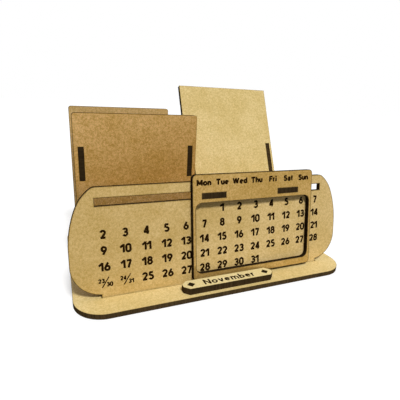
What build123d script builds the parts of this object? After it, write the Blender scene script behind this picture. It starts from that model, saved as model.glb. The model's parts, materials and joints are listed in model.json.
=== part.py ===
from build123d import *
from math import acos, cos, degrees, radians, sin, sqrt, tan
import os

# Desk calendar with a pen box and a leaning rest, all cut from flat sheet and slotted together.
# Millimetres. X runs along the calendar, Y towards the back and Z up.
# The origin is the centre of the base's underside.

# Stock and fits
sheet = 3.0                 # thickness of the sheet that everything but the month strip is cut from
fit_gap = 0.1               # gap on each side of a tab in its slot
tab_short = 0.1             # a tab ends this far inside the face that it passes through

# Base, a little narrower than the calendar board that stands on it
base_width = 179.4
base_corner_radius = 17.5

# Date grid, 13 columns wide on the board, of which the slider's window shows seven
column_pitch = 12.0
shown_column_count = 7

# Calendar board, which leans back behind the front edge of the base
board_setback = 16.0        # from the front edge of the base to the board's face
board_lean = 8.5            # degrees
board_overhang = 0.5        # how far each end of the board stands past the base
board_top = 62.1            # top edge, measured up the face from the base
board_foot_inset = 15.7     # from the end of the board to the end of the foot that goes into the base
board_foot_radius = 18.0
board_corner_rise = 1.6     # height up the face at which the round lower corners start
board_side_radius = 61.5
board_side_sweep = 22.5     # degrees turned before the tighter shoulder arc takes over
board_shoulder_radius = 23.4
board_shoulder_end = 58.4   # degrees turned where the shoulder meets the top edge
board_corner_radius = 5.0   # eases the corner between shoulder and top edge

# Long slot in the board, which the slider's keys run in
slot_end_margin = 14.7      # from the end of the board to the end of the slot
slot_below_top = 6.2        # from the board's top edge down to the slot
slot_height = 4.3

# Slider: a frame in front of the board, a keeper behind it and two keys through the slot
slider_gap = 0.3            # running gap between the board and the frame, and board and keeper
slider_middle = 22.45       # X of the window's middle as the slider stands
slider_bottom = 1.1         # up the face
slider_above_board = 4.2    # how far the frame stands above the board's top edge
slider_corner_radius = 2.6
window_side_cover = 0.7     # how far the frame covers the outer half columns at each side
window_side_bar = 2.05
window_bottom = 5.9         # up the face
window_below_slot = 2.35    # from the board's slot down to the window
window_corner_radius = 4.0
key_width = 15.5
key_play = 0.3              # between a key and the lower edge of the slot
key_left_offset = -29.3     # from the window's middle
key_right_offset = 23.9
keeper_end_margin = 2.3     # past the outer end of each key
keeper_height = 12.0
keeper_corner_radius = 3.0

# Pen box, behind the left half of the board
box_margin_left = 6.7       # from the left end of the base
board_to_box = 38.0         # from the board's face, at the base, to the face of the box
box_width = 76.4
box_depth = 64.5            # outside, over the front and back plates
box_height = 97.5           # front and back plates, above the base
box_corner_radius = 1.8
box_back_inset = 0.6        # how much narrower the back plate is at each side
box_back_rise = 1.1         # how much taller the back plate is
box_wall_drop = 7.0         # how far the side walls stop below the top of the front plate
box_wall_inset = 2.55       # from the edge of the front plate to the outer face of a wall
box_wall_tab = 20.2
box_foot_tab = 16.0
box_foot_spacing = 40.0
box_wall_foot_tab = 20.0
base_margin_back = 5.5      # from the box to the back edge of the base

# Leaning rest, beside the pen box
rest_gap = 0.3              # from the box's front plate to the rest
board_to_rest = 24.5        # from the board's face to the rest's face, both at the base
rest_width = 72.4
rest_length = 127.4         # top edge, measured up the face from the base
rest_lean = 24.0            # degrees
rest_tab_width = 14.0
rest_tab_spacing = 30.0
prop_inset = 1.9            # from the edge of the rest to the outer face of a prop
prop_tab_low = 58.6         # up the face of the rest
prop_tab_high = 83.4
prop_reach = 96.0           # how far a prop supports the rest, up its face
prop_top_width = 6.0
prop_foot_tab = 20.0

# Month strip, which drops over two square pegs in the base
strip_middle = 0.4
strip_length = 60.8
strip_width = 9.1
strip_thickness = 4.0
strip_corner = 3.1
strip_setback = 2.8         # from the front edge of the base to the strip
peg_side = 3.0
peg_gap = 0.15              # gap on each side of a peg in the strip
peg_end_margin = 5.2        # from the end of the strip to the middle of a peg
peg_below = 0.8             # a peg ends this far under the strip's face

# Places that follow from the sizes above
board_width = base_width + 2 * board_overhang
board_foot_width = board_width - 2 * board_foot_inset
base_depth = board_setback + board_to_box + box_depth + base_margin_back
base_front = -base_depth / 2
board_y = base_front + board_setback
slot_bottom = board_top - slot_below_top - slot_height
slider_top = board_top + slider_above_board
window_top = slot_bottom - window_below_slot
key_middle = slot_bottom + key_play + sheet / 2
box_x = -base_width / 2 + box_margin_left + box_width / 2
box_front = board_y + board_to_box
box_back = box_front + box_depth - sheet
box_wall_height = box_height - box_wall_drop
box_wall_offset = box_width / 2 - box_wall_inset - sheet / 2
rest_x = box_x + box_width / 2 + rest_gap + rest_width / 2
rest_y = board_y + board_to_rest
prop_offset = rest_width / 2 - prop_inset - sheet / 2
slot_width = sheet + 2 * fit_gap
strip_y = base_front + strip_setback + strip_width / 2
peg_hole = peg_side + 2 * fit_gap
strip_hole = peg_side + 2 * peg_gap


def face_plane(x, y, lean):
    """Front face of a standing plate: local X to the right, local Y up the face, Z to the viewer."""
    return Plane(
        origin=(x, y, sheet),
        x_dir=(1, 0, 0),
        z_dir=(0, -cos(radians(lean)), sin(radians(lean))),
    )


def side_plane(x):
    """Plane of a plate that stands along Y: local X is Y, local Y is Z, and Z is X."""
    return Plane(origin=(x, 0, 0), x_dir=(0, 1, 0), z_dir=(1, 0, 0))


def heel(lean):
    """Height up the face of a leaning plate's square-cut lower edge, as its back arris stands on the base."""
    return sheet * tan(radians(lean))


def tab_reach(lean):
    """How far a tab goes down below the base's top, measured along the plate."""
    return (sheet * (1 - sin(radians(lean))) - tab_short) / cos(radians(lean))


def box(left, right, low, high):
    return Pos((left + right) / 2, (low + high) / 2) * Rectangle(right - left, high - low)


def foot_tabs(width, spacing, lean):
    """Two tabs under a standing plate, in the plate's own plane."""
    tabs = Sketch()
    for side in (-1, 1):
        middle = side * spacing / 2
        tabs += box(middle - width / 2, middle + width / 2, -tab_reach(lean), heel(lean) + sheet)
    return tabs


def foot_slot(x, y, width, lean):
    """A slot in the base for a tab of a plate that stands along X, wide enough for the lean."""
    front = y - sheet * tan(radians(lean)) - fit_gap
    back = y + sheet / cos(radians(lean)) + fit_gap
    return box(x - width / 2 - fit_gap, x + width / 2 + fit_gap, front, back)


def foot_slots(x, y, width, spacing, lean):
    """The slots in the base that take a plate's two tabs."""
    return foot_slot(x - spacing / 2, y, width, lean) + foot_slot(x + spacing / 2, y, width, lean)


def side_slot(x, y, length):
    """A slot in the base for a plate that stands along Y."""
    return Pos(x, y) * Rectangle(slot_width, length + 2 * fit_gap)


def board_outline():
    """A long foot that goes into the base, round lower corners, ends that lean in, and shoulders."""
    half = board_width / 2
    foot_reach = board_foot_radius - board_foot_inset
    foot_turn = degrees(acos(foot_reach / board_foot_radius))
    foot_height = board_corner_rise + sqrt(board_foot_radius**2 - foot_reach**2)
    foot_middle = (half - board_foot_radius, foot_height)
    turn = radians(board_side_sweep)
    step = board_side_radius - board_shoulder_radius
    shoulder_height = board_top - board_shoulder_radius * sin(radians(board_shoulder_end))
    side_middle = (half - board_side_radius, shoulder_height - step * sin(turn))
    shoulder_middle = (side_middle[0] + step * cos(turn), shoulder_height)
    foot = CenterArc(foot_middle, board_foot_radius, -foot_turn, foot_turn)
    side = CenterArc(side_middle, board_side_radius, 0, board_side_sweep)
    shoulder = CenterArc(
        shoulder_middle, board_shoulder_radius, board_side_sweep, board_shoulder_end - board_side_sweep
    )
    foot_corner = (board_foot_width / 2, -tab_reach(board_lean))
    right_end = Curve() + [
        Line(foot_corner, foot @ 0),
        foot,
        Line(foot @ 1, side @ 0),
        side,
        shoulder,
    ]
    top_corner = shoulder @ 1
    top = Line((-top_corner.X, board_top), (top_corner.X, board_top))
    bottom = Line((-foot_corner[0], foot_corner[1]), foot_corner)
    outline = make_face(right_end + mirror(right_end, Plane.YZ) + top + bottom)
    return fillet(outline.vertices().group_by(Axis.Y)[-1], board_corner_radius)


def calendar_board():
    slot_reach = board_width / 2 - slot_end_margin
    slot = box(-slot_reach, slot_reach, slot_bottom, slot_bottom + slot_height)
    return extrude(face_plane(0, board_y, board_lean) * (board_outline() - slot), amount=-sheet)


def key_slots():
    """The slots that the two keys are glued into, in the frame and in the keeper."""
    slots = Sketch()
    for offset in (key_left_offset, key_right_offset):
        slots += Pos(offset, key_middle) * Rectangle(key_width + 2 * fit_gap, slot_width)
    return slots


def slider_plane(out):
    """The board's face plane, moved to the slider's middle and out from the face."""
    return face_plane(slider_middle, board_y, board_lean).offset(out)


def slider_frame():
    window_width = shown_column_count * column_pitch - 2 * window_side_cover
    width = window_width + 2 * window_side_bar
    middle = (slider_bottom + slider_top) / 2
    outline = Pos(0, middle) * RectangleRounded(width, slider_top - slider_bottom, slider_corner_radius)
    window_middle = (window_bottom + window_top) / 2
    outline -= Pos(0, window_middle) * RectangleRounded(
        window_width, window_top - window_bottom, window_corner_radius
    )
    return extrude(slider_plane(slider_gap) * (outline - key_slots()), amount=sheet)


def slider_key(offset):
    """A bar through the slot, glued into the frame in front of the board and the keeper behind it."""
    front = slider_gap + sheet - tab_short
    length = front + sheet + slider_gap + sheet - tab_short
    outline = Pos(offset, key_middle) * Rectangle(key_width, sheet)
    return extrude(slider_plane(front) * outline, amount=-length)


def slider_keeper():
    left = key_left_offset - key_width / 2 - keeper_end_margin
    right = key_right_offset + key_width / 2 + keeper_end_margin
    outline = Pos((left + right) / 2, key_middle) * RectangleRounded(
        right - left, keeper_height, keeper_corner_radius
    )
    back = slider_plane(-sheet - slider_gap)
    return extrude(back * (outline - key_slots()), amount=-sheet)


def wall_tab_heights():
    """Middles of a box wall's two tabs, a quarter and three quarters of the way up the wall."""
    return [box_wall_height / 4, 3 * box_wall_height / 4]


def pen_box_plate(y, inset, rise):
    """Front or back plate of the pen box, with its top corners eased and slots for the walls."""
    outline = box(inset - box_width / 2, box_width / 2 - inset, 0, box_height + rise)
    top_corners = outline.vertices().group_by(Axis.Y)[-1]
    outline = fillet(top_corners, box_corner_radius)
    outline += foot_tabs(box_foot_tab, box_foot_spacing, 0)
    for side in (-1, 1):
        for height in wall_tab_heights():
            outline -= Pos(side * box_wall_offset, height) * Rectangle(
                slot_width, box_wall_tab + 2 * fit_gap
            )
    return extrude(face_plane(box_x, y, 0) * outline, amount=-sheet)


def pen_box_wall(side):
    """Side wall between the front and back plates, with tabs through both and one into the base."""
    front = box_front + sheet
    outline = box(front, box_back, sheet, sheet + box_wall_height)
    for height in wall_tab_heights():
        low = sheet + height - box_wall_tab / 2
        outline += box(box_front + tab_short, box_back + sheet - tab_short, low, low + box_wall_tab)
    middle = (front + box_back) / 2
    outline += box(middle - box_wall_foot_tab / 2, middle + box_wall_foot_tab / 2, tab_short, 2 * sheet)
    x = box_x + side * box_wall_offset
    return extrude(side_plane(x) * outline, amount=sheet / 2, both=True)


def rest_plate():
    outline = box(-rest_width / 2, rest_width / 2, heel(rest_lean), rest_length)
    outline += foot_tabs(rest_tab_width, rest_tab_spacing, rest_lean)
    for side in (-1, 1):
        outline -= box(
            side * prop_offset - slot_width / 2,
            side * prop_offset + slot_width / 2,
            prop_tab_low - fit_gap,
            prop_tab_high + fit_gap,
        )
    return extrude(face_plane(rest_x, rest_y, rest_lean) * outline, amount=-sheet)


def rest_point(up, behind):
    """Y and Z of a point up the rest's face and behind it."""
    lean = radians(rest_lean)
    return (rest_y + up * sin(lean) + behind * cos(lean), sheet + up * cos(lean) - behind * sin(lean))


def prop_foot_middle():
    """Middle of the prop's foot along Y."""
    front = rest_point(heel(rest_lean), sheet)[0]
    return (front + prop_back()) / 2


def prop_back():
    """Y of the prop's upright back edge."""
    return rest_point(prop_reach, sheet)[0] + prop_top_width


def rest_prop(side):
    """Prop behind the rest: a sloping front edge with a tab through the rest, and a foot in the base."""
    top = rest_point(prop_reach, sheet)
    middle = prop_foot_middle()
    outline = make_face(
        Polyline(
            rest_point(heel(rest_lean), sheet),
            rest_point(prop_tab_low, sheet),
            rest_point(prop_tab_low, tab_short),
            rest_point(prop_tab_high, tab_short),
            rest_point(prop_tab_high, sheet),
            top,
            (prop_back(), top[1]),
            (prop_back(), sheet),
            (middle + prop_foot_tab / 2, sheet),
            (middle + prop_foot_tab / 2, tab_short),
            (middle - prop_foot_tab / 2, tab_short),
            (middle - prop_foot_tab / 2, sheet),
            close=True,
        )
    )
    x = rest_x + side * prop_offset
    return extrude(side_plane(x) * outline, amount=sheet / 2, both=True)


def peg_places():
    reach = strip_length / 2 - peg_end_margin
    return [(strip_middle + side * reach, strip_y) for side in (-1, 1)]


def diamond(place, side):
    """A square turned by 45 degrees."""
    return Pos(*place) * Rot(Z=45) * Rectangle(side, side)


def month_strip():
    """Long octagon with a hole near each end."""
    outline = Pos(strip_middle, strip_y) * Rectangle(strip_length, strip_width)
    outline = chamfer(outline.vertices(), strip_corner)
    for place in peg_places():
        outline -= diamond(place, strip_hole)
    return extrude(Plane.XY.offset(sheet) * outline, amount=strip_thickness)


def month_peg(place):
    height = sheet + strip_thickness - peg_below - tab_short
    return extrude(Plane.XY.offset(tab_short) * diamond(place, peg_side), amount=height)


def base_plate():
    outline = RectangleRounded(base_width, base_depth, base_corner_radius)
    outline -= foot_slot(0, board_y, board_foot_width, board_lean)
    outline -= foot_slots(rest_x, rest_y, rest_tab_width, rest_tab_spacing, rest_lean)
    for y in (box_front, box_back):
        outline -= foot_slots(box_x, y, box_foot_tab, box_foot_spacing, 0)
    for side in (-1, 1):
        wall_middle = (box_front + sheet + box_back) / 2
        outline -= side_slot(box_x + side * box_wall_offset, wall_middle, box_wall_foot_tab)
        outline -= side_slot(rest_x + side * prop_offset, prop_foot_middle(), prop_foot_tab)
    for place in peg_places():
        outline -= diamond(place, peg_hole)
    return extrude(outline, amount=sheet)


left_peg, right_peg = peg_places()
pieces = {
    "base_plate": base_plate(),
    "calendar_board": calendar_board(),
    "slider_frame": slider_frame(),
    "slider_key_left": slider_key(key_left_offset),
    "slider_key_right": slider_key(key_right_offset),
    "slider_keeper": slider_keeper(),
    "pen_box_front": pen_box_plate(box_front, 0, 0),
    "pen_box_back": pen_box_plate(box_back, box_back_inset, box_back_rise),
    "pen_box_left_wall": pen_box_wall(-1),
    "pen_box_right_wall": pen_box_wall(1),
    "rest_plate": rest_plate(),
    "rest_prop_left": rest_prop(-1),
    "rest_prop_right": rest_prop(1),
    "month_strip": month_strip(),
    "month_peg_left": month_peg(left_peg),
    "month_peg_right": month_peg(right_peg),
}

os.makedirs("parts", exist_ok=True)
for name, piece in pieces.items():
    export_step(piece, f"parts/{name}.step")
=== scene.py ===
"""Looks of a slotted fibreboard desk calendar with a pen box and a leaning rest.

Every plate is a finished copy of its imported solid: arrises broken, cut edges burnt, faces with the
fibres and flecks of raw fibreboard. Numbers, day names and the month are engraved into their plates.
Metres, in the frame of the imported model: X along the calendar, Y to the back, Z up.
"""

import json
from math import cos, radians, sin
from typing import NamedTuple

import bmesh
import bpy
from bpy.props import FloatProperty, FloatVectorProperty, IntProperty, PointerProperty, StringProperty
from mathutils import Matrix, Vector


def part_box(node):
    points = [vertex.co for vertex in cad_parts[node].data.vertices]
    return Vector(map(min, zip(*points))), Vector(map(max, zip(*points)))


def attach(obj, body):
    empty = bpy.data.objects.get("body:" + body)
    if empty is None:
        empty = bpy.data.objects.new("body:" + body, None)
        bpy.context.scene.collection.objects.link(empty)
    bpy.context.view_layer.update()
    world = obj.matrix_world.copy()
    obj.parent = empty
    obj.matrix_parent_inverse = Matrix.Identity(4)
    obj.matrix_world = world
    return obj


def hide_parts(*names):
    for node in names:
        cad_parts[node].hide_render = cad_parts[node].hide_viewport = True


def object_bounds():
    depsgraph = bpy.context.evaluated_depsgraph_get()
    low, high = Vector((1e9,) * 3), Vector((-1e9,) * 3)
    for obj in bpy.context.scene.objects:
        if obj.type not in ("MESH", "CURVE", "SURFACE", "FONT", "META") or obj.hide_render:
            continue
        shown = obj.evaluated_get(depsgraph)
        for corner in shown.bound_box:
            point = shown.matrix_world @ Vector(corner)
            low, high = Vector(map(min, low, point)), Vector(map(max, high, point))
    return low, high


bl_info = {
    "name": "Fibreboard desk calendar",
    "version": (1, 0, 0),
    "blender": (4, 5, 0),
    "location": "View3D > Sidebar > Calendar",
    "description": "Builds the looks of a desk calendar with a pen box around its packed solids",
    "category": "Object",
}

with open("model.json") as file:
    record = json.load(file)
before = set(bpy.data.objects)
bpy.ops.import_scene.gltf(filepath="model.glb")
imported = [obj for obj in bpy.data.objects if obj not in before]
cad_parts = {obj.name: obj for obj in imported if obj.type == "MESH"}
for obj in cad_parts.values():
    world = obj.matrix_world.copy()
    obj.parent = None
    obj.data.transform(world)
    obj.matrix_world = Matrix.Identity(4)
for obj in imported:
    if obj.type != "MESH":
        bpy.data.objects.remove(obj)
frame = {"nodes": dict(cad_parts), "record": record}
cad_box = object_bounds()

BODY_OF = {
    node: body for body, nodes in frame["record"]["behaviour"]["bodies"].items() for node in nodes
}

MM = 0.001
BASE_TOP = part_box("month_strip")[0].z

# The outer side of a plate is the one that faces this way
TOWARDS_VIEWER = Vector((-0.4, -1.0, 0.6))

# Materials of a finished plate, in the order of its slots
FACE = 0
CUT = 1
ENGRAVED = 2

# How much of a plate's normal points to a side when it stands sideways
SIDEWAYS_SHARE = 0.5

# How near to the plate's normal that of a broad side is, where 1 is the same direction
BROAD_SHARE = 0.999

# The char attribute where the burn beside a cut ends and the smoke stain starts
CHAR_PAST_BURN = 0.55

# Seeds of the plates' grain: how many there are, and how far apart
SEED_COUNT = 97
SEED_STEP = 0.013

# Corners nearer to each other than this are merged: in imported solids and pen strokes, and after a cut
SEAM = 0.001 * MM
CUT_SEAM = 0.0001 * MM

# The angle at which two faces meet. Below the first they are one flat face, below the second they are
# facets of one round edge, and above the third their edge is an arris.
FLAT_ANGLE = radians(0.5)
ROUND_ANGLE = radians(20)
ARRIS_ANGLE = radians(30)

WHITE = (1.0, 1.0, 1.0)

# How fast red, green and blue go as wood is browned
SCORCH_RATES = (1.0, 1.2, 2.2)


class SheetSettings(bpy.types.PropertyGroup):
    """Finish of the fibreboard, shared by all plates."""

    arris: FloatProperty(
        name="Arris", description="Width of a broken edge", default=0.05 * MM, unit="LENGTH"
    )
    burn: FloatProperty(
        name="Burn", description="Width of the dark line beside a cut", default=0.10 * MM, unit="LENGTH"
    )
    deep_burn: FloatProperty(
        name="Deep burn",
        description="Width of that line on the date board and the slider",
        default=0.40 * MM,
        unit="LENGTH",
    )
    stain: FloatProperty(
        name="Stain", description="Width of the smoke stain beside the burn", default=0.45 * MM, unit="LENGTH"
    )
    base_colour: FloatVectorProperty(
        name="Base", description="Face of the base", default=(0.722, 0.552, 0.245), subtype="COLOR"
    )
    board_colour: FloatVectorProperty(
        name="Date board",
        description="Face of the date board",
        default=(0.658, 0.455, 0.169),
        subtype="COLOR",
    )
    slider_colour: FloatVectorProperty(
        name="Slider", description="Faces of the slider", default=(0.608, 0.389, 0.124), subtype="COLOR"
    )
    box_colour: FloatVectorProperty(
        name="Pen box", description="Faces of the pen box", default=(0.733, 0.455, 0.168), subtype="COLOR"
    )
    box_back_colour: FloatVectorProperty(
        name="Back of the box",
        description="Faces of its back plate",
        default=(0.68, 0.47, 0.20),
        subtype="COLOR",
    )
    rest_colour: FloatVectorProperty(
        name="Rest", description="Faces of the rest", default=(0.740, 0.565, 0.245), subtype="COLOR"
    )
    strip_colour: FloatVectorProperty(
        name="Month strip", description="Face of the strip", default=(0.75, 0.625, 0.325), subtype="COLOR"
    )
    burnt_colour: FloatVectorProperty(
        name="Burnt edge", description="Edges that were cut", default=(0.046, 0.029, 0.0125), subtype="COLOR"
    )
    engraved_colour: FloatVectorProperty(
        name="Engraving", description="Engraved marks", default=(0.020, 0.009, 0.002), subtype="COLOR"
    )


class BoardSettings(bpy.types.PropertyGroup):
    """Numbers on the date board."""

    column_count: IntProperty(name="Columns", description="Columns of days", default=13)
    row_count: IntProperty(name="Rows", description="Rows of weeks", default=5)
    column_pitch: FloatProperty(
        name="Column pitch", description="From one day to the next", default=12 * MM, unit="LENGTH"
    )
    row_pitch: FloatProperty(
        name="Row pitch", description="From one week to the next", default=9.2 * MM, unit="LENGTH"
    )
    top_row: FloatProperty(
        name="Top row", description="Middle of the top row, up the board", default=45.2 * MM, unit="LENGTH"
    )
    number_height: FloatProperty(
        name="Number height", description="Height of a number", default=4.9 * MM, unit="LENGTH"
    )
    paired_height: FloatProperty(
        name="Paired height",
        description="Height of two numbers in one place",
        default=2.45 * MM,
        unit="LENGTH",
    )
    depth: FloatProperty(
        name="Depth", description="Depth of all engraving", default=0.25 * MM, unit="LENGTH"
    )


class SliderSettings(bpy.types.PropertyGroup):
    """Day names on the slider."""

    name_height: FloatProperty(
        name="Name height", description="Height of a capital", default=3.5 * MM, unit="LENGTH"
    )
    name_foot: FloatProperty(
        name="Name foot", description="Foot of the names, up the board", default=60.2 * MM, unit="LENGTH"
    )
    name_stroke: FloatProperty(
        name="Name stroke", description="Width of the strokes, as a share of the height", default=0.32
    )


class MonthSettings(bpy.types.PropertyGroup):
    """The word on the month strip."""

    word: StringProperty(name="Month", description="Month on the strip", default="November")
    letter_height: FloatProperty(
        name="Letter height", description="Height of a capital", default=5.3 * MM, unit="LENGTH"
    )
    letter_stroke: FloatProperty(
        name="Letter stroke", description="Width of the strokes, as a share of the height", default=0.21
    )


class StudioSettings(bpy.types.PropertyGroup):
    """Camera and lamps."""

    camera_place: FloatVectorProperty(
        name="Camera place",
        description="Where the camera stands",
        default=(-90.4 * MM, -214.64 * MM, 112.26 * MM),
        subtype="TRANSLATION",
        unit="LENGTH",
    )
    heading: FloatProperty(
        name="Heading", description="Turn from the back to the right", default=radians(23.21), unit="ROTATION"
    )
    drop: FloatProperty(
        name="Drop", description="Turn down from level", default=radians(17.13), unit="ROTATION"
    )
    roll: FloatProperty(
        name="Roll", description="Turn about the line of sight", default=radians(2.78), unit="ROTATION"
    )
    focal_share: FloatProperty(
        name="Focal share", description="Focal length as a share of the picture's width", default=0.8372
    )
    sky_strength: FloatProperty(name="Sky", description="Light from all round", default=0.12)
    key_strength: FloatProperty(name="Key", description="Light from above the camera", default=2.86)
    top_strength: FloatProperty(name="Top", description="Light from straight above", default=0.25)
    back_strength: FloatProperty(name="Back", description="Light from behind, low down", default=1.1)


class Wire:
    """A socket of a material. Python's operators on it add Math nodes."""

    def __init__(self, tree, socket=None):
        self.tree = tree
        self.socket = socket

    def node(self, kind, settings=None, sockets=None, output=0):
        """Adds a node: first its settings, then the values or links of its sockets."""
        node = self.tree.nodes.new(kind)
        for name, value in (settings or {}).items():
            setattr(node, name, value)
        for name, value in (sockets or {}).items():
            if isinstance(value, Wire):
                self.tree.links.new(value.socket, node.inputs[name])
            else:
                node.inputs[name].default_value = value
        return Wire(self.tree, node.outputs[output] if node.outputs else None)

    def maths(self, operation, first, second):
        """A Math node on two values, of which one may be a number."""
        return self.node("ShaderNodeMath", {"operation": operation}, {0: first, 1: second})

    def __add__(self, other):
        return self.maths("ADD", self, other)

    __radd__ = __add__

    def __sub__(self, other):
        return self.maths("SUBTRACT", self, other)

    def __rsub__(self, other):
        return self.maths("SUBTRACT", other, self)

    def __mul__(self, other):
        return self.maths("MULTIPLY", self, other)

    __rmul__ = __mul__

    def larger(self, other):
        """The larger of this value and another."""
        return self.maths("MAXIMUM", self, other)

    def swing(self, share):
        """How far this noise is from its middle, times a share."""
        return (self - 0.5) * share

    def rise(self, low, high):
        """0 below low and 1 above high, with a smooth rise between."""
        return self.node(
            "ShaderNodeMapRange",
            {"interpolation_type": "SMOOTHSTEP"},
            {"Value": self, "From Min": low, "From Max": high},
        )

    def blend(self, first, second):
        """Colour that goes from first to second as this wire goes from 0 to 1."""
        return self.node("ShaderNodeMix", {"data_type": "RGBA"}, {0: self, 6: first, 7: second}, 2)

    def product(self, other):
        """This colour times another."""
        settings = {"data_type": "RGBA", "blend_type": "MULTIPLY"}
        return self.node("ShaderNodeMix", settings, {0: 1.0, 6: self, 7: other}, 2)

    def dot(self, direction):
        """How far this place is in a direction."""
        settings = {"operation": "DOT_PRODUCT"}
        return self.node("ShaderNodeVectorMath", settings, {0: self, 1: direction}, "Value")

    def noise(self, scale, detail, roughness=0.5):
        """Noise at the place that this wire gives."""
        sockets = {"Vector": self, "Scale": scale, "Detail": detail, "Roughness": roughness}
        return self.node("ShaderNodeTexNoise", None, sockets)

    def streaks(self, turn, length, width):
        """Noise in streaks of that length and width, turned in the plate's plane."""
        sockets = {"Vector": self, "Rotation": (0, 0, turn), "Scale": (length, width, 1)}
        turned = self.node("ShaderNodeMapping", {"vector_type": "TEXTURE"}, sockets)
        return turned.noise(1.0, 1.0)


def new_material(name):
    """An empty material, and the wire that its nodes start from."""
    material = bpy.data.materials.new(name)
    material.use_nodes = True
    material.node_tree.nodes.clear()
    return material, Wire(material.node_tree)


def finish_surface(start, base_colour, roughness, height, relief, gloss):
    """The surface itself. Relief is the height of its bumps in metres."""
    sockets = {"Strength": 1.0, "Distance": relief, "Height": height}
    bump = start.node("ShaderNodeBump", None, sockets)
    sockets = {
        "Base Color": base_colour,
        "Roughness": roughness,
        "Specular IOR Level": gloss,
        "Normal": bump,
    }
    body = start.node("ShaderNodeBsdfPrincipled", None, sockets)
    start.node("ShaderNodeOutputMaterial", None, {"Surface": body})


def tone(rgb, share=1.0):
    """Colour of a socket, darkened or lightened by a share."""
    return (*(channel * share for channel in rgb), 1.0)


def scorched(rgb, share):
    """Colour of a socket, darkened by a share, with the blue going first, as in browned wood."""
    return (*(channel * (1.0 - rate * share) for channel, rate in zip(rgb, SCORCH_RATES)), 1.0)


def plate_place(start, axes, seed):
    """Place on a plate: along it and up it. Each plate has its own seed, so no two look alike."""
    along, up, _ = axes
    place = start.node("ShaderNodeTexCoord", None, None, "Object")
    return start.node("ShaderNodeCombineXYZ", None, {"X": place.dot(along), "Y": place.dot(up), "Z": seed})


class Drift(NamedTuple):
    """A slow change of tone over a sheet: tinted before start, and its own colour from end on."""

    tint: tuple
    direction: tuple
    start: float
    end: float


class Finish(NamedTuple):
    """How strongly a sheet is marked, in shares of its own colour, and how light its cut edges are."""

    clouds: float = 0.10
    grain: float = 0.38
    smoke: float = 0.4
    edge: float = 0.88
    drifts: tuple = ()


PLAIN_FINISH = Finish()
BASE_FINISH = Finish(clouds=0.08, grain=0.22, edge=1.9)

# The date board is paler towards its right end
BOARD_PALER = Drift(tint=(1.15, 1.20, 1.38), direction=(-1, 0, 0), start=-45 * MM, end=80 * MM)
BOARD_FINISH = Finish(grain=0.29, drifts=(BOARD_PALER,))

# Painted shade on the slider's lower rail, where the month strip stands close in front of it, all but the
# rail's right half
RAIL_PAINTED_SHADE = Drift(tint=(0.54, 0.52, 0.47), direction=(0.15, 0, 1), start=9.7 * MM, end=12.1 * MM)
SLIDER_FINISH = Finish(clouds=0.16, smoke=0.3, edge=0.55, drifts=(RAIL_PAINTED_SHADE,))

# The pen box is browner to the lower right, and has painted shade low down, behind the board
BOX_BROWNER = Drift(tint=(0.74, 0.67, 0.47), direction=(-0.3, 0, 0.95), start=60 * MM, end=114 * MM)
# Painted shade: the box front is darker below the board's top, where the board keeps light off it
BOX_PAINTED_SHADE = Drift(tint=(0.73, 0.80, 1.05), direction=(0, 0, 1), start=46 * MM, end=62 * MM)
BOX_FINISH = Finish(clouds=0.22, grain=0.46, drifts=(BOX_BROWNER, BOX_PAINTED_SHADE))

REST_FINISH = Finish(clouds=0.13, grain=0.28)
PROP_FINISH = Finish(clouds=0.13, grain=0.28, edge=1.2)
STRIP_FINISH = Finish(clouds=0.05, grain=0.16, edge=1.2)
PEG_FINISH = Finish(edge=0.55)

# How far the clouds push a drift to and fro, as a share of its length
DRIFT_WANDER = 0.2

# A face. Each noise has a scale per metre, a detail and a roughness.
CLOUDS = (44.0, 4.0, 0.62)
CLOUD_RISE = (0.35, 0.68)
BLOTCHES = (720.0, 3.0, 0.65)
BLOTCH_CONTRAST = 2.0
GRAIN = (1500.0, 3.0, 0.8)
GRAIN_CONTRAST = 2.6
FACE_ROUGHNESS = 0.62
GRAIN_ROUGHNESS = 0.3
BURN_ROUGHNESS = 0.15
FACE_GLOSS = 0.25
FACE_RELIEF = 0.012 * MM

# Its fibres: their turn in degrees, their length and width, and the noise at which they start to show
DARK_FIBRES = (
    (24, 2.4 * MM, 0.34 * MM, 0.58),
    (101, 1.9 * MM, 0.30 * MM, 0.59),
    (155, 2.8 * MM, 0.32 * MM, 0.60),
)
PALE_FIBRES = ((62, 2.2 * MM, 0.34 * MM, 0.58), (132, 1.7 * MM, 0.30 * MM, 0.59))
FIBRE_RISE = 0.18
FIBRE_STRENGTH = 1.1
FIBRE_HEIGHT = 0.6
FIBRE_SCORCH = 0.4
PALE_FIBRE_TONE = 1.35

# Its bark flecks: their cells per metre, and their size as shares of a cell
FLECK_SCALE = 210.0
FLECK_RISE = (0.04, 0.10)
FLECK_STRENGTH = 0.45

# Its smoke stain: how brown it is, as the flecks are, and the char at which it is full
STAIN_SCORCH = 0.42
STAIN_FULL = 0.6

# Its burn: the char at which it starts and is full, how far the grain frays it, and its tone
BURN_RISE = (0.45, 0.95)
BURN_FRAY = 0.5
BURN_TONE = 1.2


def fibres(place, kinds):
    """How strongly fibres of these kinds show at a place."""
    layers = [
        place.streaks(radians(turn), length, width).rise(low, low + FIBRE_RISE)
        for turn, length, width, low in kinds
    ]
    return sum(layers[1:], layers[0])


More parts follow.
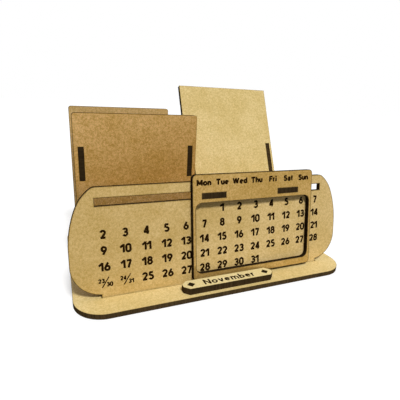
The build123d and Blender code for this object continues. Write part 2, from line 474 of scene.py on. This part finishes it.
def fibreboard_face(name, axes, rgb, burnt_rgb, seed, finish):
    """Raw fibreboard: soft clouds, blotches, pale and dark fibres, a few bark flecks, burnt rims."""
    material, start = new_material(name)
    place = plate_place(start, axes, seed)
    clouds = place.noise(*CLOUDS).rise(*CLOUD_RISE)
    blotches = place.noise(*BLOTCHES)
    grain = place.noise(*GRAIN)
    dark_fibres = fibres(place, DARK_FIBRES)
    pale_fibres = fibres(place, PALE_FIBRES)
    cells = start.node("ShaderNodeTexVoronoi", None, {"Vector": place, "Scale": FLECK_SCALE})
    flecks = 1.0 - cells.rise(*FLECK_RISE)

    colour = clouds.blend(tone(rgb), scorched(rgb, finish.clouds))
    # Drifts change a sheet's tone slowly; those low on the pen box and on the slider's rail are painted shade
    for drift in finish.drifts:
        way = start.node("ShaderNodeTexCoord", None, None, "Object").dot(drift.direction)
        wander = DRIFT_WANDER * (drift.end - drift.start)
        change = (way + clouds.swing(wander)).rise(drift.start, drift.end)
        colour = change.blend(colour.product(tone(drift.tint)), colour)
    mottle = blotches.swing(BLOTCH_CONTRAST) + grain.swing(GRAIN_CONTRAST) + 0.5
    pale = colour.product(scorched(WHITE, -finish.grain / 2))
    dark = colour.product(scorched(WHITE, finish.grain / 2))
    colour = mottle.rise(0.0, 1.0).blend(pale, dark)
    strength = FIBRE_STRENGTH * finish.grain
    colour = (dark_fibres * strength).blend(colour, scorched(rgb, FIBRE_SCORCH))
    colour = (pale_fibres * strength).blend(colour, tone(rgb, PALE_FIBRE_TONE))
    colour = (flecks * FLECK_STRENGTH).blend(colour, scorched(rgb, STAIN_SCORCH))

    char = start.node("ShaderNodeAttribute", {"attribute_name": "char"}, None, "Fac")
    burn = (char + grain.swing(BURN_FRAY)).rise(*BURN_RISE)
    smoke = char.rise(0.0, STAIN_FULL) * finish.smoke
    colour = smoke.blend(colour, scorched(rgb, STAIN_SCORCH))
    colour = burn.blend(colour, tone(burnt_rgb, BURN_TONE))

    roughness = FACE_ROUGHNESS + grain.swing(GRAIN_ROUGHNESS) + burn * BURN_ROUGHNESS
    height = grain + FIBRE_HEIGHT * pale_fibres - FIBRE_HEIGHT * dark_fibres
    finish_surface(start, colour, roughness, height, FACE_RELIEF, FACE_GLOSS)
    return material


# A cut edge, whose lines run across the thickness, and the engraving, whose crumbs are its only mark
LINES = (1500.0, 3.0, 0.7)
LINE_CONTRAST = 2.4
PALE_LINE_TONE = 1.5
DARK_LINE_TONE = 0.5
PATCHES = (90.0, 2.0, 0.5)
PATCH_RISE = (0.4, 0.7)
PATCH_STRENGTH = 0.5
PATCH_TONE = 0.55
CRUMBS = (2600.0, 2.0, 0.7)
CRUMB_RISE = (0.62, 0.75)
CRUMB_STRENGTH = 0.5
CRUMB_TONE = 2.2
CRUMB_HEIGHT = 0.4
EDGE_ROUGHNESS = 0.8
ENGRAVED_CRUMBS = (2200.0, 3.0, 0.7)
ENGRAVED_DARK_TONE = 0.6
ENGRAVED_PALE_TONE = 1.7
ENGRAVED_ROUGHNESS = 0.9
CUT_GLOSS = 0.0
CUT_RELIEF = 0.03 * MM


def burnt_edge(name, axes, rgb, seed):
    """A cut edge: nearly black, with fine lines across the thickness and paler layers between."""
    material, start = new_material(name)
    place = plate_place(start, axes, seed)
    lines = place.noise(*LINES)
    patches = place.noise(*PATCHES)
    crumbs = start.node("ShaderNodeTexCoord", None, None, "Object").noise(*CRUMBS)
    layers = lines.swing(LINE_CONTRAST) + 0.5
    colour = layers.blend(tone(rgb, PALE_LINE_TONE), tone(rgb, DARK_LINE_TONE))
    dark = patches.rise(*PATCH_RISE) * PATCH_STRENGTH
    colour = dark.blend(colour, tone(rgb, PATCH_TONE))
    pale = crumbs.rise(*CRUMB_RISE) * CRUMB_STRENGTH
    colour = pale.blend(colour, tone(rgb, CRUMB_TONE))
    height = lines + CRUMB_HEIGHT * crumbs
    finish_surface(start, colour, EDGE_ROUGHNESS, height, CUT_RELIEF, CUT_GLOSS)
    return material


def engraved_mark(name, rgb, seed):
    """Floor and sides of the engraving: charred, with a fine crumbly grain."""
    material, start = new_material(name)
    scale, detail, roughness = ENGRAVED_CRUMBS
    solid = start.node("ShaderNodeTexCoord", None, None, "Object")
    crumbs = solid.noise(scale + seed, detail, roughness)
    colour = crumbs.blend(tone(rgb, ENGRAVED_DARK_TONE), tone(rgb, ENGRAVED_PALE_TONE))
    finish_surface(start, colour, ENGRAVED_ROUGHNESS, crumbs, CUT_RELIEF, CUT_GLOSS)
    return material


def plate_axes(bm):
    """Directions along, up and out of a plate, the last towards the viewer."""
    out = max(bm.faces, key=lambda face: face.calc_area()).normal.copy()
    if out.dot(TOWARDS_VIEWER) < 0:
        out.negate()
    sideways = abs(out.x) > SIDEWAYS_SHARE
    cornerwise = sideways and abs(out.y) > SIDEWAYS_SHARE
    if cornerwise:
        along = Vector((0, 0, 1))
    elif sideways:
        along = Vector((0, 1, 0))
    else:
        along = Vector((1, 0, 0))
    return along, out.cross(along), out


def whole_solid(node):
    """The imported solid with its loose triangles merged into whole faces."""
    bm = bmesh.new()
    bm.from_mesh(frame["nodes"][node].data)
    bmesh.ops.remove_doubles(bm, verts=bm.verts, dist=SEAM)
    bmesh.ops.dissolve_limit(bm, angle_limit=FLAT_ANGLE, verts=bm.verts, edges=bm.edges)
    return bm


def break_arrises(bm, width):
    """Takes a narrow chamfer off every edge where two sides meet at an angle."""
    arrises = [edge for edge in bm.edges if edge.calc_face_angle(0) > ARRIS_ANGLE]
    bmesh.ops.bevel(
        bm, geom=arrises, offset=width, affect="EDGES", segments=1, profile=0.5, material=-1
    )


def burn_rims(bm, out, burn, stain):
    """Two narrow rings of faces beside every cut. The char attribute falls from 1 to 0 over them."""
    char = bm.verts.layers.float.new("char")
    for vert in bm.verts:
        vert[char] = 1.0
    sides = [face for face in bm.faces if abs(face.normal.dot(out)) > BROAD_SHARE]
    for width, left in ((burn, CHAR_PAST_BURN), (stain, 0.0)):
        bmesh.ops.inset_region(
            bm, faces=sides, thickness=width, depth=0, use_boundary=True, use_even_offset=True
        )
        for face in sides:
            for vert in face.verts:
                vert[char] = left
    for face in bm.faces:
        face.material_index = FACE if abs(face.normal.dot(out)) > BROAD_SHARE else CUT


def new_object(name, bm):
    """An object at the origin with the bmesh as its mesh."""
    mesh = bpy.data.meshes.new(name)
    bm.to_mesh(mesh)
    bm.free()
    piece = bpy.data.objects.new(name, mesh)
    bpy.context.scene.collection.objects.link(piece)
    return piece


def close_seams(mesh):
    """Merges corners that a cut leaves a hair apart, and takes out faces without area."""
    bm = bmesh.new()
    bm.from_mesh(mesh)
    bmesh.ops.remove_doubles(bm, verts=bm.verts, dist=CUT_SEAM)
    bmesh.ops.dissolve_degenerate(bm, edges=bm.edges, dist=CUT_SEAM)
    bm.to_mesh(mesh)
    bm.free()


def engrave(piece, marks):
    """Cuts the marks out of a piece and leaves their walls and floors with the third material."""
    for face in marks.faces:
        face.material_index = ENGRAVED
    cutter = new_object(piece.name + "_marks", marks)
    for material in piece.data.materials:
        cutter.data.materials.append(material)
    cut = piece.modifiers.new("engraving", "BOOLEAN")
    cut.operation = "DIFFERENCE"
    cut.solver = "EXACT"
    cut.use_self = True
    cut.material_mode = "INDEX"
    cut.object = cutter
    bpy.context.view_layer.update()
    graph = bpy.context.evaluated_depsgraph_get()
    mesh = bpy.data.meshes.new_from_object(piece.evaluated_get(graph))
    mesh.name = piece.name
    piece.modifiers.clear()
    piece.data = mesh
    bpy.data.objects.remove(cutter)
    close_seams(mesh)


def smooth_curved_edges(mesh):
    """Shades the facets of a round edge as one surface and keeps real corners sharp."""
    bm = bmesh.new()
    bm.from_mesh(mesh)
    for face in bm.faces:
        face.smooth = face.material_index == CUT
    for edge in bm.edges:
        edge.smooth = edge.calc_face_angle(0) < ROUND_ANGLE
    bm.to_mesh(mesh)
    bm.free()


def own_seed(name):
    """A number that goes with a piece's name."""
    return sum(map(ord, name)) % SEED_COUNT * SEED_STEP


def finished_plate(name, node, rgb, finish=PLAIN_FINISH, deep=False, marks=None):
    """Builds the finished copy of a packed plate and lets it stand for the plate."""
    sheet = bpy.context.scene.calendar_sheet
    bm = whole_solid(node)
    axes = plate_axes(bm)
    break_arrises(bm, sheet.arris)
    burn_rims(bm, axes[2], sheet.deep_burn if deep else sheet.burn, sheet.stain)
    piece = new_object(name, bm)
    seed = own_seed(name)
    burnt = sheet.burnt_colour
    piece.data.materials.append(fibreboard_face(name + "_face", axes, rgb, burnt, seed, finish))
    edge_rgb = [channel * finish.edge for channel in burnt]
    piece.data.materials.append(burnt_edge(name + "_edge", axes, edge_rgb, seed))
    if marks is not None:
        piece.data.materials.append(engraved_mark(name + "_engraving", sheet.engraved_colour, seed))
        engrave(piece, marks)
    smooth_curved_edges(piece.data)
    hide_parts(node)
    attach(piece, BODY_OF[node])
    return piece


# Numerals as pen strokes, in shares of their height: where a stroke starts, its heading in degrees,
# and its moves. A plain number is a straight run, and a pair is an arc's radius and turn.
STROKE_WIDTH = 0.262
BOWL = 0.235
NUMERALS = {
    "0": [(BOWL, 0.315, 90, [0.37, (BOWL, 180), 0.37, (BOWL, 180)])],
    "1": [(0.12, 0.0, 90, [1.0]), (0.13, 0.95, 219, [0.52])],
    "2": [(-0.225, 0.715, 80, [(0.222, -208.5), 0.585]), (-0.285, 0.11, 0, [0.56])],
    "3": [
        (-0.188, 0.773, 70, [(0.2, -250)]),
        (0.0, 0.545, 0, [(0.225, -250)]),
        (-0.10, 0.525, 0, [0.12]),
    ],
    "4": [(0.12, 0.0, 90, [1.0]), (0.10, 0.93, 242, [0.75]), (-0.31, 0.26, 0, [0.62])],
    "5": [
        (-0.20, 0.905, 0, [0.42]),
        (-0.165, 0.93, 269, [0.42]),
        (-0.158, 0.501, 40, [(0.23, -280)]),
    ],
    "6": [(0.09, 0.97, 241.4, [0.62]), (0.23, 0.325, 90, [(0.23, 360)])],
    "7": [(-0.29, 0.89, 0, [0.56]), (0.20, 0.90, 252.0, [0.95])],
    "8": [(0.19, 0.715, 90, [(0.19, 360)]), (0.225, 0.32, 90, [(0.225, 360)])],
    "9": [(-0.09, 0.03, 61.4, [0.62]), (-0.23, 0.675, 270, [(0.23, 360)])],
}

# Letters in the same way, after their width. X starts at the left side of the letter.
LETTERS = {
    "F": (0.68, [(0.10, 0.0, 90, [1.0]), (0.10, 0.90, 0, [0.58]), (0.10, 0.50, 0, [0.50])]),
    "M": (
        1.00,
        [
            (0.10, 0.0, 90, [1.0]),
            (0.90, 0.0, 90, [1.0]),
            (0.12, 0.93, -62.5, [0.84]),
            (0.88, 0.93, -117.5, [0.84]),
        ],
    ),
    "N": (0.82, [(0.10, 0.0, 90, [1.0]), (0.72, 0.0, 90, [1.0]), (0.12, 0.93, -56, [1.04])]),
    "S": (
        0.72,
        [(0.594, 0.759, 105, [(0.19, 75), 0.10, (0.19, 180), 0.10, (0.21, -180), 0.10, (0.21, -75)])],
    ),
    "T": (0.80, [(0.0, 0.90, 0, [0.80]), (0.40, 0.0, 90, [0.90])]),
    "W": (
        1.25,
        [
            (0.10, 1.0, -74.1, [0.98]),
            (0.36, 0.03, 73.8, [1.0]),
            (0.89, 0.03, 106.2, [1.0]),
            (1.15, 1.0, -105.9, [0.98]),
        ],
    ),
    "a": (0.62, [(0.52, 0.0, 90, [0.43, (0.19, 150)]), (0.52, 0.43, 180, [0.20, (0.18, 180), 0.20])]),
    "b": (0.69, [(0.10, 0.0, 90, [1.0]), (0.59, 0.36, 90, [(0.24, 360)])]),
    "d": (0.69, [(0.59, 0.0, 90, [1.0]), (0.58, 0.36, 90, [(0.24, 360)])]),
    "e": (0.68, [(0.15, 0.38, 0, [0.44]), (0.60, 0.36, 90, [(0.25, 310)])]),
    "h": (0.62, [(0.10, 0.0, 90, [1.0]), (0.11, 0.30, 90, [0.11, (0.21, -180), 0.41])]),
    "i": (0.20, [(0.10, 0.0, 90, [0.72]), (0.10, 0.82, 90, [0.20])]),
    "m": (
        0.98,
        [
            (0.10, 0.0, 90, [0.72]),
            (0.11, 0.30, 90, [0.125, (0.195, -180), 0.425]),
            (0.49, 0.30, 90, [0.125, (0.195, -180), 0.425]),
        ],
    ),
    "n": (0.62, [(0.10, 0.0, 90, [0.72]), (0.11, 0.30, 90, [0.11, (0.21, -180), 0.41])]),
    "o": (0.72, [(0.62, 0.36, 90, [(0.26, 360)])]),
    "r": (0.42, [(0.10, 0.0, 90, [0.72]), (0.11, 0.30, 90, [0.08, (0.24, -85)])]),
    "t": (0.44, [(0.20, 0.95, -90, [0.66, (0.19, 85)]), (0.0, 0.63, 0, [0.42])]),
    "u": (0.62, [(0.53, 0.0, 90, [0.72]), (0.10, 0.72, -90, [0.41, (0.21, 180), 0.11])]),
    "v": (0.66, [(0.09, 0.72, -71, [0.74]), (0.57, 0.72, -109, [0.74])]),
}

# In shares of the height: the gap between two letters, and from one numeral to the next
LETTER_GAP = 0.12
NUMERAL_PITCH = 0.74
ONE_PITCH = 0.57

# Two small numbers in one place: how far each is from the middle, their strokes, and the slash between
PAIRED_SHIFT = Vector((2.2 * MM, -1.15 * MM, 0))
PAIRED_STROKE = 0.30
SLASH = [(-0.40, -0.08, 57.3, [1.47])]
SLASH_STROKE = 0.13

DAY_NAMES = ("Mon", "Tue", "Wed", "Thu", "Fri", "Sat", "Sun")
LAST_DAY = 31

# An arc is drawn in steps of about this many degrees, and in no fewer steps than this
ARC_STEP = 18
LEAST_STEPS = 3


class Pen:
    """A flat stroke of even width, drawn in a bmesh by straight runs and arcs."""

    def __init__(self, bm, start, heading, width):
        self.bm = bm
        self.place = start
        self.heading = radians(heading)
        side = width / 2 * self.left()
        corners = [bm.verts.new(start + side), bm.verts.new(start - side)]
        self.nib = bm.edges.new(corners)
        self.drawn = list(corners)

    def ahead(self):
        """The direction that the pen moves in."""
        return Vector((cos(self.heading), sin(self.heading), 0))

    def left(self):
        """The direction to the left of that."""
        return Vector((-sin(self.heading), cos(self.heading), 0))

    def run(self, length):
        """A straight run."""
        grown = bmesh.ops.extrude_edge_only(self.bm, edges=[self.nib])["geom"]
        corners = [part for part in grown if isinstance(part, bmesh.types.BMVert)]
        bmesh.ops.translate(self.bm, verts=corners, vec=length * self.ahead())
        self.nib = self.bm.edges.get(corners)
        self.place = self.place + length * self.ahead()
        self.drawn += corners

    def turn(self, radius, degrees):
        """An arc to the left, or to the right where degrees is negative."""
        side = 1 if degrees > 0 else -1
        centre = self.place + side * radius * self.left()
        step_count = max(LEAST_STEPS, round(abs(degrees) / ARC_STEP))
        known = set(self.bm.verts)
        spun = bmesh.ops.spin(
            self.bm,
            geom=[*self.nib.verts, self.nib],
            cent=centre,
            axis=(0, 0, 1),
            angle=radians(degrees),
            steps=step_count,
        )["geom_last"]
        self.nib = next(part for part in spun if isinstance(part, bmesh.types.BMEdge))
        self.place = centre + Matrix.Rotation(radians(degrees), 3, "Z") @ (self.place - centre)
        self.heading += radians(degrees)
        self.drawn += [vert for vert in self.bm.verts if vert not in known]

    def lift(self):
        """Closes a stroke that came back to its start."""
        bmesh.ops.remove_doubles(self.bm, verts=self.drawn, dist=SEAM)


def draw_strokes(bm, strokes, foot, height, width=STROKE_WIDTH):
    """Draws pen strokes at a height, with the middle of their foot at a place."""
    for x, y, heading, moves in strokes:
        pen = Pen(bm, foot + height * Vector((x, y, 0)), heading, height * width)
        for move in moves:
            if isinstance(move, tuple):
                pen.turn(height * move[0], move[1])
            else:
                pen.run(height * move)
        pen.lift()


def draw_number(bm, number, middle, height, width=STROKE_WIDTH):
    """Draws a number centred on a place."""
    numerals = str(number)
    pitches = [height * (ONE_PITCH if numeral == "1" else NUMERAL_PITCH) for numeral in numerals]
    left = middle.x - sum(pitches) / 2
    for numeral, pitch in zip(numerals, pitches):
        foot = Vector((left + pitch / 2, middle.y - height / 2, 0))
        draw_strokes(bm, NUMERALS[numeral], foot, height, width)
        left += pitch


def draw_pair(bm, first, second, middle, board):
    """Two small numbers in one place, one above and one below a slanting stroke."""
    draw_number(bm, first, middle - PAIRED_SHIFT, board.paired_height, PAIRED_STROKE)
    draw_number(bm, second, middle + PAIRED_SHIFT, board.paired_height, PAIRED_STROKE)
    foot = middle - Vector((0, board.number_height / 2, 0))
    draw_strokes(bm, SLASH, foot, board.number_height, SLASH_STROKE)


def draw_word(bm, word, foot, height, stroke_share):
    """Draws a word centred on a place on its foot line. Its strokes are a share of its height wide."""
    total = sum(LETTERS[letter][0] for letter in word) + LETTER_GAP * (len(word) - 1)
    place = foot - Vector((height * total / 2, 0, 0))
    for letter in word:
        pitch, strokes = LETTERS[letter]
        draw_strokes(bm, strokes, place, height, stroke_share)
        place = place + Vector((height * (pitch + LETTER_GAP), 0, 0))


def sink_marks(bm, place, depth):
    """Makes closed solids of flat marks, from the engraving's floor to a little above the face."""
    bmesh.ops.translate(bm, verts=bm.verts, vec=(0, 0, -depth))
    grown = bmesh.ops.extrude_face_region(bm, geom=bm.faces[:], use_keep_orig=True)["geom"]
    tops = [part for part in grown if isinstance(part, bmesh.types.BMVert)]
    bmesh.ops.translate(bm, verts=tops, vec=(0, 0, 2 * depth))
    bmesh.ops.recalc_face_normals(bm, faces=bm.faces)
    bm.transform(place)
    return bm


def standing_face(node):
    """Place on a leaning plate's face: X along, Y up from the top of the base, Z out, at X = 0."""
    bm = whole_solid(node)
    along, up, out = plate_axes(bm)
    reach = max(vert.co.dot(out) for vert in bm.verts)
    bm.free()
    foot = Vector((0, (reach - BASE_TOP * out.z) / out.y, BASE_TOP))
    return Matrix.Translation(foot) @ Matrix((along, up, out)).transposed().to_4x4()


def date_marks(board):
    """The days of a month that can start in any of the last seven columns."""
    bm = bmesh.new()
    week = len(DAY_NAMES)
    middle_column = board.column_count // 2
    for row in range(board.row_count):
        for column in range(board.column_count):
            number = column - middle_column + 1 + week * row
            if not 1 <= number <= LAST_DAY:
                continue
            across = (column - middle_column) * board.column_pitch
            place = Vector((across, board.top_row - row * board.row_pitch, 0))
            if row == board.row_count - 1 and number + week <= LAST_DAY:
                draw_pair(bm, number, number + week, place, board)
            else:
                draw_number(bm, number, place, board.number_height)
    return sink_marks(bm, standing_face("calendar_board"), board.depth)


def day_marks(board, slider):
    """The day names, one over each column of the slider's window."""
    bm = bmesh.new()
    low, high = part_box("slider_frame")
    middle = (low.x + high.x) / 2
    for column, day in enumerate(DAY_NAMES):
        across = middle + (column - len(DAY_NAMES) // 2) * board.column_pitch
        foot = Vector((across, slider.name_foot, 0))
        draw_word(bm, day, foot, slider.name_height, slider.name_stroke)
    return sink_marks(bm, standing_face("slider_frame"), board.depth)


def month_marks(board, month):
    """The month's name, in the middle of the strip's top."""
    bm = bmesh.new()
    low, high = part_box("month_strip")
    foot = Vector(((low.x + high.x) / 2, (low.y + high.y - month.letter_height) / 2, 0))
    draw_word(bm, month.word, foot, month.letter_height, month.letter_stroke)
    return sink_marks(bm, Matrix.Translation((0, 0, high.z)), board.depth)


class CALENDAR_OT_base(bpy.types.Operator):
    """Build the base plate"""

    bl_idname = "calendar.base"
    bl_label = "Base"

    def execute(self, context):
        colour = context.scene.calendar_sheet.base_colour
        finished_plate("base_finished", "base_plate", colour, BASE_FINISH)
        return {"FINISHED"}


class CALENDAR_OT_date_board(bpy.types.Operator):
    """Build the date board with its engraved numbers"""

    bl_idname = "calendar.date_board"
    bl_label = "Date board"

    def execute(self, context):
        colour = context.scene.calendar_sheet.board_colour
        marks = date_marks(context.scene.calendar_board)
        finished_plate("board_finished", "calendar_board", colour, BOARD_FINISH, deep=True, marks=marks)
        return {"FINISHED"}


class CALENDAR_OT_slider(bpy.types.Operator):
    """Build the slider: frame with the day names, two keys and the keeper behind the board"""

    bl_idname = "calendar.slider"
    bl_label = "Slider"

    def execute(self, context):
        scene = context.scene
        colour = scene.calendar_sheet.slider_colour
        marks = day_marks(scene.calendar_board, scene.calendar_slider)
        finished_plate("frame_finished", "slider_frame", colour, SLIDER_FINISH, deep=True, marks=marks)
        for piece in ("key_left", "key_right", "keeper"):
            finished_plate(f"{piece}_finished", f"slider_{piece}", colour)
        return {"FINISHED"}


class CALENDAR_OT_pen_box(bpy.types.Operator):
    """Build the four plates of the pen box"""

    bl_idname = "calendar.pen_box"
    bl_label = "Pen box"

    def execute(self, context):
        sheet = context.scene.calendar_sheet
        for side in ("front", "left_wall", "right_wall"):
            finished_plate(f"box_{side}_finished", f"pen_box_{side}", sheet.box_colour, BOX_FINISH)
        finished_plate("box_back_finished", "pen_box_back", sheet.box_back_colour)
        return {"FINISHED"}


class CALENDAR_OT_rest(bpy.types.Operator):
    """Build the leaning rest and its two props"""

    bl_idname = "calendar.rest"
    bl_label = "Rest"

    def execute(self, context):
        colour = context.scene.calendar_sheet.rest_colour
        finished_plate("leaning_plate_finished", "rest_plate", colour, REST_FINISH)
        for part in ("prop_left", "prop_right"):
            finished_plate(f"leaning_{part}_finished", f"rest_{part}", colour, PROP_FINISH)
        return {"FINISHED"}


class CALENDAR_OT_month_sign(bpy.types.Operator):
    """Build the month strip with its engraved word, and the two pegs that it sits on"""

    bl_idname = "calendar.month_sign"
    bl_label = "Month sign"

    def execute(self, context):
        scene = context.scene
        colour = scene.calendar_sheet.strip_colour
        marks = month_marks(scene.calendar_board, scene.calendar_month)
        finished_plate("strip_finished", "month_strip", colour, STRIP_FINISH, marks=marks)
        for side in ("left", "right"):
            finished_plate(f"peg_{side}_finished", f"month_peg_{side}", colour, PEG_FINISH)
        return {"FINISHED"}


# Where the lamps shine from, and how wide each looks
KEY_FROM = (0.04, -0.55, 0.85)
KEY_WIDTH = radians(12)
TOP_FROM = (0.0, 0.05, 1.0)
TOP_WIDTH = radians(80)
BACK_FROM = (0.12, 0.92, 0.32)
BACK_WIDTH = radians(40)

# The floor: its grey for the light it throws back and for the camera, and its glow for the camera
FLOOR_BOUNCE = 0.25
FLOOR_SHOWN = 0.60
FLOOR_GLOW = 0.45
FLOOR_RADIUS = 4.0
FLOOR_SIDES = 64
FLOOR_GAP = 0.02 * MM

# The camera shows nothing nearer than this
CLIP_START = 10 * MM


def sun(name, direction, strength, spread):
    """A soft lamp that shines from a direction."""
    lamp = bpy.data.lights.new(name, "SUN")
    lamp.energy = strength
    lamp.angle = spread
    holder = bpy.data.objects.new(name, lamp)
    holder.rotation_mode = "QUATERNION"
    holder.rotation_quaternion = Vector(direction).to_track_quat("Z", "Y")
    bpy.context.scene.collection.objects.link(holder)


def seen_directly(start):
    """1 for rays that show the backdrop, straight or by a reflection, and 0 for its light."""
    rays = "ShaderNodeLightPath"
    camera = start.node(rays, None, None, "Is Camera Ray")
    glossy = start.node(rays, None, None, "Is Glossy Ray")
    through = start.node(rays, None, None, "Is Transmission Ray")
    return camera.larger(glossy).larger(through)


def white_world(studio):
    """A white backdrop that gives less light than it shows."""
    world = bpy.data.worlds.new("studio_world")
    world.use_nodes = True
    world.node_tree.nodes.clear()
    start = Wire(world.node_tree)
    seen = seen_directly(start)
    strength = seen * (1.0 - studio.sky_strength) + studio.sky_strength
    sky = start.node("ShaderNodeBackground", None, {"Color": tone(WHITE), "Strength": strength})
    start.node("ShaderNodeOutputWorld", None, {"Surface": sky})
    bpy.context.scene.world = world


def white_floor():
    """A wide floor that shows white and keeps the shadow, and throws back little light."""
    bm = bmesh.new()
    bmesh.ops.create_circle(bm, cap_ends=True, radius=FLOOR_RADIUS, segments=FLOOR_SIDES)
    bmesh.ops.translate(bm, verts=bm.verts, vec=(0, 0, cad_box[0][2] - FLOOR_GAP))
    floor = new_object("studio_floor", bm)
    material, start = new_material("studio_floor")
    seen = seen_directly(start)
    sockets = {
        "Base Color": seen.blend(tone(WHITE, FLOOR_BOUNCE), tone(WHITE, FLOOR_SHOWN)),
        "Roughness": 1.0,
        "Specular IOR Level": 0.0,
        "Emission Color": seen.blend(tone(WHITE, 0.0), tone(WHITE, FLOOR_GLOW)),
        "Emission Strength": 1.0,
    }
    body = start.node("ShaderNodeBsdfPrincipled", None, sockets)
    start.node("ShaderNodeOutputMaterial", None, {"Surface": body})
    floor.data.materials.append(material)


def studio_camera(studio):
    """The camera at the photograph's place and angle."""
    heading = Vector((sin(studio.heading), cos(studio.heading), 0))
    sight = cos(studio.drop) * heading - Vector((0, 0, sin(studio.drop)))
    level = Vector((heading.y, -heading.x, 0))
    above = level.cross(sight)
    right = cos(studio.roll) * level + sin(studio.roll) * above
    up = cos(studio.roll) * above - sin(studio.roll) * level
    lens = bpy.data.cameras.new("studio_camera")
    lens.sensor_fit = "HORIZONTAL"
    lens.lens = studio.focal_share * lens.sensor_width
    lens.clip_start = CLIP_START
    camera = bpy.data.objects.new("studio_camera", lens)
    turn = Matrix((right, up, -sight)).transposed().to_4x4()
    camera.matrix_world = Matrix.Translation(studio.camera_place) @ turn
    bpy.context.scene.collection.objects.link(camera)
    bpy.context.scene.camera = camera


class CALENDAR_OT_stage(bpy.types.Operator):
    """Set up the floor, the backdrop, the lamps and the camera"""

    bl_idname = "calendar.stage"
    bl_label = "Stage"

    def execute(self, context):
        studio = context.scene.calendar_studio
        context.scene.view_settings.view_transform = "Standard"
        white_world(studio)
        white_floor()
        sun("key_lamp", KEY_FROM, studio.key_strength, KEY_WIDTH)
        sun("top_lamp", TOP_FROM, studio.top_strength, TOP_WIDTH)
        sun("back_lamp", BACK_FROM, studio.back_strength, BACK_WIDTH)
        studio_camera(studio)
        return {"FINISHED"}


OPERATORS = (
    CALENDAR_OT_base,
    CALENDAR_OT_date_board,
    CALENDAR_OT_slider,
    CALENDAR_OT_pen_box,
    CALENDAR_OT_rest,
    CALENDAR_OT_month_sign,
    CALENDAR_OT_stage,
)
SETTINGS = {
    "calendar_sheet": SheetSettings,
    "calendar_board": BoardSettings,
    "calendar_slider": SliderSettings,
    "calendar_month": MonthSettings,
    "calendar_studio": StudioSettings,
}


class CALENDAR_PT_panel(bpy.types.Panel):
    """Lists the pieces that can be built"""

    bl_idname = "CALENDAR_PT_panel"
    bl_label = "Desk calendar"
    bl_space_type = "VIEW_3D"
    bl_region_type = "UI"
    bl_category = "Calendar"

    def draw(self, context):
        for operator in OPERATORS:
            self.layout.operator(operator.bl_idname)


def register():
    for settings in SETTINGS.values():
        bpy.utils.register_class(settings)
    for name, settings in SETTINGS.items():
        setattr(bpy.types.Scene, name, PointerProperty(type=settings))
    for operator in OPERATORS:
        bpy.utils.register_class(operator)
    bpy.utils.register_class(CALENDAR_PT_panel)


def unregister():
    bpy.utils.unregister_class(CALENDAR_PT_panel)
    for operator in reversed(OPERATORS):
        bpy.utils.unregister_class(operator)
    for name, settings in SETTINGS.items():
        delattr(bpy.types.Scene, name)
        bpy.utils.unregister_class(settings)


def main():
    register()
    bpy.ops.calendar.base()
    bpy.ops.calendar.date_board()
    bpy.ops.calendar.slider()
    bpy.ops.calendar.pen_box()
    bpy.ops.calendar.rest()
    bpy.ops.calendar.month_sign()
    bpy.ops.calendar.stage()


if __name__ == "__main__":
    main()
